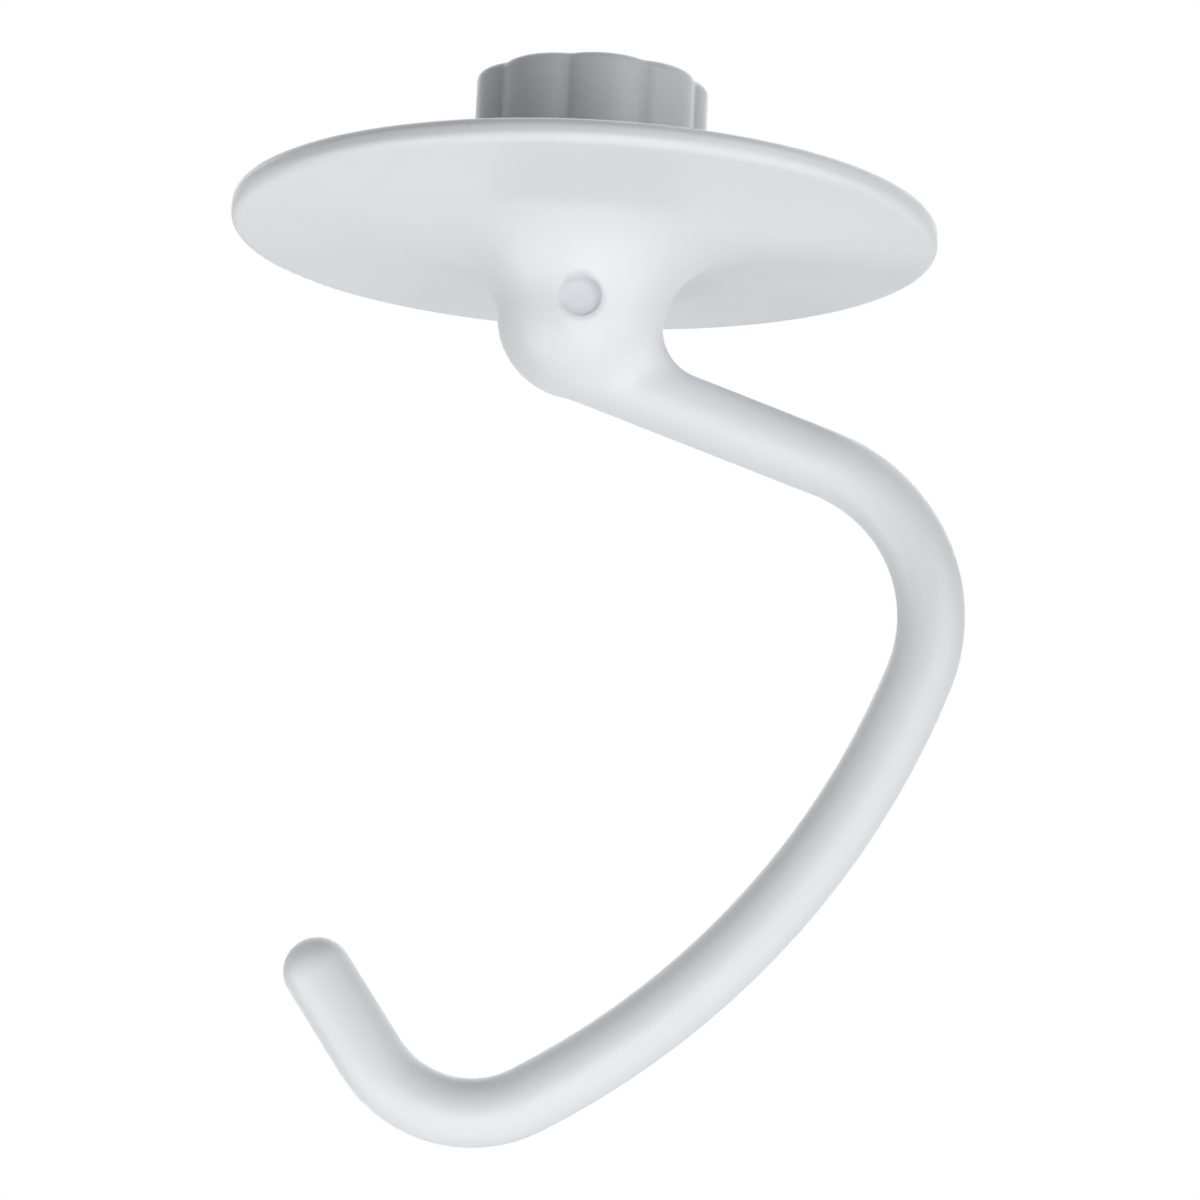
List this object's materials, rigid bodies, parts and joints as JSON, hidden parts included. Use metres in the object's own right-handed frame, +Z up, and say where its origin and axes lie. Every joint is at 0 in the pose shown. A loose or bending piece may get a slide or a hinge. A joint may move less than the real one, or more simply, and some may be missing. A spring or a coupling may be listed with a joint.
{
  "type": "dough hook",
  "caption": "Cast kneading hook for a stand mixer: a lobed hub with a shaft socket and pin slot, a round guard disc, and a bent round rod hung from a flared neck.",
  "frame": {"origin": "centre of the shaft socket's mouth, on the hub's top rim", "axes": "+Z up the mixer's shaft and out of the socket; the hook lies in the XZ plane with its arm going out towards +X; -Y is the side the picture shows"},
  "size_m": [0.1074, 0.1016, 0.1537],
  "materials": {
    "coat": "white nylon coat with a soft satin sheen, over cast aluminium"
  },
  "bodies": {
    "root": {"dough_hook": "coat"}
  },
  "joints": []
}
